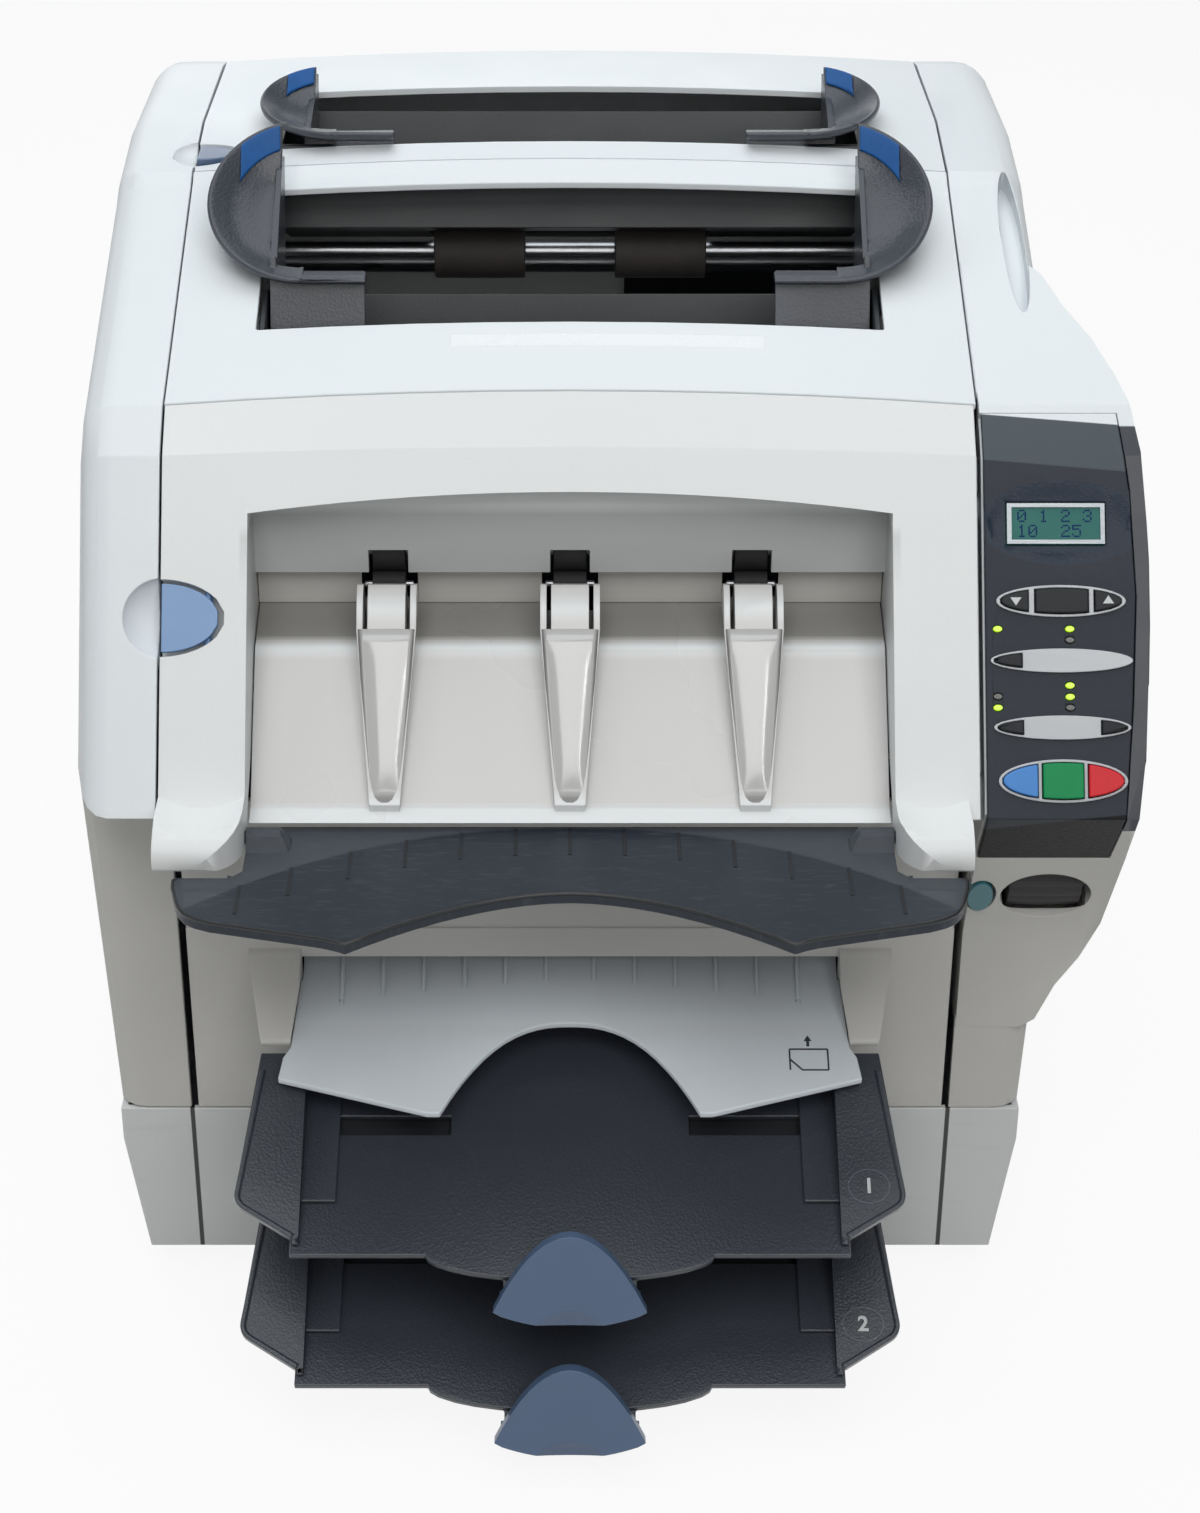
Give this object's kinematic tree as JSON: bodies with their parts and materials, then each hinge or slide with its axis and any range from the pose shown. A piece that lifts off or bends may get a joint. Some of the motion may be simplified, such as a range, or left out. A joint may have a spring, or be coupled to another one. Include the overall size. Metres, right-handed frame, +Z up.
{
  "type": "folder inserter",
  "caption": "Desk folder inserter with sheet trays, envelope and insert hoppers, hinged front and rear covers, exit stacker tray and a control panel on its right side.",
  "frame": {"origin": "middle of the bounding box, on the plane the feet stand on", "axes": "+X to the right seen from the front, +Y to the back, +Z up"},
  "size_m": [0.4284, 0.5296, 0.4629],
  "materials": {
    "shell_white": "fine satin texture",
    "shell_grey": "fine satin texture",
    "charcoal": "satin",
    "dark_plastic": "satin",
    "rubber": "matt",
    "grip_blue": "matt",
    "slate": "satin",
    "teal": "satin",
    "smoked": "clear, smoked",
    "frame_steel": "plain sheet",
    "silver": "silver lacquer",
    "display": "lit",
    "lamp": "lit",
    "button_dark": "satin",
    "button_blue": "satin",
    "button_green": "satin",
    "button_red": "satin"
  },
  "bodies": {
    "machine": {"base_pan": "shell_grey", "rubber_feet": "rubber", "left_side_cover": "shell_white", "right_side_cover": "shell_white", "lower_front_cover": "shell_grey", "manual_feed_tray": "shell_grey", "upper_sheet_tray": "charcoal", "lower_sheet_tray": "charcoal", "top_cover": "shell_white", "envelope_hopper": "dark_plastic", "rear_cover": "shell_grey", "power_inlet": "dark_plastic", "control_fascia": "charcoal", "display_panel": "display", "indicator_lamps": "lamp", "button_surrounds": "silver", "inner_frame": "frame_steel", "fold_plates": "frame_steel", "drive_motor": "dark_plastic"},
    "door": {"front_cover": "shell_grey", "exit_plate": "shell_grey"},
    "cover_latch": {"cover_latch": "slate"},
    "stacker": {"stacker_tray": "smoked"},
    "exit_idlers": {"exit_idlers": "rubber"},
    "exit_shaft": {"exit_shaft": "rubber"},
    "insert_lid": {"insert_cover": "shell_white", "insert_hopper": "dark_plastic"},
    "insert_latch": {"insert_latch": "slate"},
    "insert_guide_left": {"insert_guide_left": "charcoal", "insert_pad_left": "grip_blue"},
    "insert_guide_right": {"insert_guide_right": "charcoal", "insert_pad_right": "grip_blue"},
    "envelope_guide_left": {"envelope_guide_left": "charcoal", "envelope_pad_left": "grip_blue"},
    "envelope_guide_right": {"envelope_guide_right": "charcoal", "envelope_pad_right": "grip_blue"},
    "power_switch": {"power_switch": "dark_plastic"},
    "hand_wheel": {"hand_wheel": "rubber"},
    "side_release": {"side_release": "teal"},
    "upper_guide_left": {"upper_guide_left": "charcoal"},
    "upper_guide_right": {"upper_guide_right": "charcoal"},
    "upper_lift_lever": {"upper_lift_lever": "slate"},
    "lower_guide_left": {"lower_guide_left": "charcoal"},
    "lower_guide_right": {"lower_guide_right": "charcoal"},
    "lower_lift_lever": {"lower_lift_lever": "slate"},
    "fold_roller_upper": {"fold_roller_upper": "rubber"},
    "fold_roller_lower": {"fold_roller_lower": "rubber"},
    "upper_feed_roller": {"upper_feed_roller": "rubber"},
    "lower_feed_roller": {"lower_feed_roller": "rubber"},
    "envelope_feed_roller": {"envelope_feed_roller": "rubber"},
    "insert_feed_roller": {"insert_feed_roller": "rubber"},
    "down_button": {"down_button": "button_dark"},
    "menu_button": {"menu_button": "button_dark"},
    "up_button": {"up_button": "button_dark"},
    "tray_button": {"tray_button": "button_dark"},
    "fold_button": {"fold_button": "button_dark"},
    "seal_button": {"seal_button": "button_dark"},
    "clear_button": {"clear_button": "button_blue"},
    "start_button": {"start_button": "button_green"},
    "stop_button": {"stop_button": "button_red"}
  },
  "joints": [
    {"name": "door_hinge", "type": "hinge", "parent": "machine", "child": "door", "pos_m": [0.1437, -0.16085, 0.25299], "axis": [0, 0.5753, 0.8179], "range_deg": [0, 60]},
    {"name": "cover_latch_pivot", "type": "hinge", "parent": "door", "child": "cover_latch", "pos_m": [-0.1572, -0.1147, 0.31772], "axis": [0, 0.5753, 0.8179], "range_deg": [0, 22], "stiffness_Nm_per_rad": 0.05, "springref_deg": -11.46},
    {"name": "stacker_fold", "type": "hinge", "parent": "door", "child": "stacker", "pos_m": [-0.0143, -0.16571, 0.248], "axis": [-1, 0, 0], "range_deg": [0, 80]},
    {"name": "insert_lid_hinge", "type": "hinge", "parent": "machine", "child": "insert_lid", "pos_m": [-0.0143, 0.26079, 0.397], "axis": [-1, 0, 0], "range_deg": [0, 55]},
    {"name": "insert_latch_pivot", "type": "hinge", "parent": "insert_lid", "child": "insert_latch", "pos_m": [-0.1614, 0.09129, 0.4338], "axis": [0, 1, 0], "range_deg": [0, 20], "stiffness_Nm_per_rad": 0.05, "springref_deg": -11.46},
    {"name": "side_release_pivot", "type": "hinge", "parent": "machine", "child": "side_release", "pos_m": [0.1566, -0.13258, 0.20336], "axis": [0, -0.3779, 0.9258], "range_deg": [0, 12], "stiffness_Nm_per_rad": 0.05, "springref_deg": -11.46},
    {"name": "power_switch_rock", "type": "hinge", "parent": "machine", "child": "power_switch", "pos_m": [-0.0933, 0.25629, 0.13], "axis": [1, 0, 0], "range_deg": [0, 14]},
    {"name": "upper_lift", "type": "hinge", "parent": "machine", "child": "upper_lift_lever", "pos_m": [-0.0143, -0.24315, 0.08131], "axis": [1, 0, 0], "range_deg": [0, 12], "stiffness_Nm_per_rad": 0.05, "springref_deg": -11.46},
    {"name": "lower_lift", "type": "hinge", "parent": "machine", "child": "lower_lift_lever", "pos_m": [-0.0143, -0.25215, 0.02131], "axis": [1, 0, 0], "range_deg": [0, 12], "stiffness_Nm_per_rad": 0.05, "springref_deg": -11.46},
    {"name": "fold_upper_spin", "type": "hinge", "parent": "machine", "child": "fold_roller_upper", "pos_m": [-0.0143, 0.04929, 0.2664], "axis": [1, 0, 0], "continuous": true},
    {"name": "fold_lower_spin", "type": "hinge", "parent": "machine", "child": "fold_roller_lower", "pos_m": [-0.0143, 0.04929, 0.234], "axis": [1, 0, 0], "continuous": true},
    {"name": "exit_shaft_spin", "type": "hinge", "parent": "machine", "child": "exit_shaft", "pos_m": [-0.0143, -0.06321, 0.325], "axis": [1, 0, 0], "continuous": true},
    {"name": "exit_idlers_spin", "type": "hinge", "parent": "door", "child": "exit_idlers", "pos_m": [-0.0143, -0.07474, 0.31347], "axis": [1, 0, 0], "continuous": true},
    {"name": "upper_feed_spin", "type": "hinge", "parent": "machine", "child": "upper_feed_roller", "pos_m": [-0.0143, 0.00429, 0.1924], "axis": [1, 0, 0], "continuous": true},
    {"name": "lower_feed_spin", "type": "hinge", "parent": "machine", "child": "lower_feed_roller", "pos_m": [-0.0143, -0.00471, 0.1324], "axis": [1, 0, 0], "continuous": true},
    {"name": "envelope_feed_spin", "type": "hinge", "parent": "machine", "child": "envelope_feed_roller", "pos_m": [-0.0143, -0.02128, 0.32278], "axis": [1, 0, 0], "continuous": true},
    {"name": "insert_feed_spin", "type": "hinge", "parent": "machine", "child": "insert_feed_roller", "pos_m": [-0.0143, 0.10335, 0.38936], "axis": [1, 0, 0], "continuous": true},
    {"name": "hand_wheel_spin", "type": "hinge", "parent": "machine", "child": "hand_wheel", "pos_m": [-0.0143, -0.11295, 0.21137], "axis": [1, 0, 0], "continuous": true},
    {"name": "envelope_guide_left_slide", "type": "slide", "parent": "machine", "child": "envelope_guide_left", "axis": [1, 0, 0], "range_m": [-0.0008, 0.012]},
    {"name": "envelope_guide_right_slide", "type": "slide", "parent": "machine", "child": "envelope_guide_right", "axis": [1, 0, 0], "range_m": [-0.012, 0.0008]},
    {"name": "insert_guide_left_slide", "type": "slide", "parent": "insert_lid", "child": "insert_guide_left", "axis": [1, 0, 0], "range_m": [-0.0004, 0.045]},
    {"name": "insert_guide_right_slide", "type": "slide", "parent": "insert_lid", "child": "insert_guide_right", "axis": [1, 0, 0], "range_m": [-0.045, 0.0004]},
    {"name": "upper_guide_left_slide", "type": "slide", "parent": "machine", "child": "upper_guide_left", "axis": [1, 0, 0], "range_m": [-0.0004, 0.04]},
    {"name": "upper_guide_right_slide", "type": "slide", "parent": "machine", "child": "upper_guide_right", "axis": [1, 0, 0], "range_m": [-0.04, 0.0004]},
    {"name": "lower_guide_left_slide", "type": "slide", "parent": "machine", "child": "lower_guide_left", "axis": [1, 0, 0], "range_m": [-0.0004, 0.04]},
    {"name": "lower_guide_right_slide", "type": "slide", "parent": "machine", "child": "lower_guide_right", "axis": [1, 0, 0], "range_m": [-0.04, 0.0004]},
    {"name": "down_button_press", "type": "slide", "parent": "machine", "child": "down_button", "axis": [0, 0.8179, -0.5753], "range_m": [0, 0.0012], "stiffness_N_per_m": 200, "springref_m": -0.0005},
    {"name": "menu_button_press", "type": "slide", "parent": "machine", "child": "menu_button", "axis": [0, 0.8179, -0.5753], "range_m": [0, 0.0012], "stiffness_N_per_m": 200, "springref_m": -0.0005},
    {"name": "up_button_press", "type": "slide", "parent": "machine", "child": "up_button", "axis": [0, 0.8179, -0.5753], "range_m": [0, 0.0012], "stiffness_N_per_m": 200, "springref_m": -0.0005},
    {"name": "tray_button_press", "type": "slide", "parent": "machine", "child": "tray_button", "axis": [0, 0.8179, -0.5753], "range_m": [0, 0.0012], "stiffness_N_per_m": 200, "springref_m": -0.0005},
    {"name": "fold_button_press", "type": "slide", "parent": "machine", "child": "fold_button", "axis": [0, 0.8179, -0.5753], "range_m": [0, 0.0012], "stiffness_N_per_m": 200, "springref_m": -0.0005},
    {"name": "seal_button_press", "type": "slide", "parent": "machine", "child": "seal_button", "axis": [0, 0.8179, -0.5753], "range_m": [0, 0.0012], "stiffness_N_per_m": 200, "springref_m": -0.0005},
    {"name": "clear_button_press", "type": "slide", "parent": "machine", "child": "clear_button", "axis": [0, 0.8179, -0.5753], "range_m": [0, 0.0012], "stiffness_N_per_m": 200, "springref_m": -0.0005},
    {"name": "start_button_press", "type": "slide", "parent": "machine", "child": "start_button", "axis": [0, 0.8179, -0.5753], "range_m": [0, 0.0012], "stiffness_N_per_m": 200, "springref_m": -0.0005},
    {"name": "stop_button_press", "type": "slide", "parent": "machine", "child": "stop_button", "axis": [0, 0.8179, -0.5753], "range_m": [0, 0.0012], "stiffness_N_per_m": 200, "springref_m": -0.0005}
  ],
  "couplings": [
    {"joint": "fold_lower_spin", "follows": "fold_upper_spin", "ratio": -1},
    {"joint": "exit_shaft_spin", "follows": "fold_upper_spin", "ratio": -1.4545},
    {"joint": "exit_idlers_spin", "follows": "fold_upper_spin", "ratio": 3.2},
    {"joint": "upper_feed_spin", "follows": "fold_upper_spin", "ratio": 1.3333},
    {"joint": "lower_feed_spin", "follows": "fold_upper_spin", "ratio": 1.3333},
    {"joint": "envelope_feed_spin", "follows": "fold_upper_spin", "ratio": 1.3333},
    {"joint": "insert_feed_spin", "follows": "fold_upper_spin", "ratio": 1.3333},
    {"joint": "hand_wheel_spin", "follows": "fold_upper_spin", "ratio": 1},
    {"joint": "envelope_guide_right_slide", "follows": "envelope_guide_left_slide", "ratio": -1},
    {"joint": "insert_guide_right_slide", "follows": "insert_guide_left_slide", "ratio": -1},
    {"joint": "upper_guide_right_slide", "follows": "upper_guide_left_slide", "ratio": -1},
    {"joint": "lower_guide_right_slide", "follows": "lower_guide_left_slide", "ratio": -1}
  ]
}
